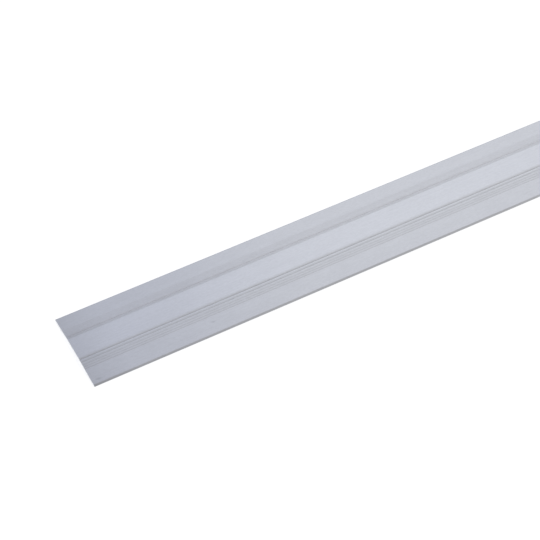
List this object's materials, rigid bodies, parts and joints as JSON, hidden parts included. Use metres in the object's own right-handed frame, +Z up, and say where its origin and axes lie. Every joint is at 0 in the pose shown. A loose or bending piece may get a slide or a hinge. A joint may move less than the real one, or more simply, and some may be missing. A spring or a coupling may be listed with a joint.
{
  "type": "aluminium cover strip",
  "caption": "Flat strip of extruded aluminium with a level centre band, ribbed ramps, plain margins and rounded long edges, laid over a joint between two floors.",
  "frame": {"origin": "middle of the strip's length and width, on the floor that its two feet rest on", "axes": "+X along the strip, +Y across it from one long edge to the other, +Z up out of the ribbed top face"},
  "size_m": [0.9, 0.038, 0.0016],
  "materials": {
    "mill_aluminium": "satin silver, as extruded, with fine lines along the length"
  },
  "bodies": {
    "root": {"extruded_strip": "mill_aluminium"}
  },
  "joints": []
}
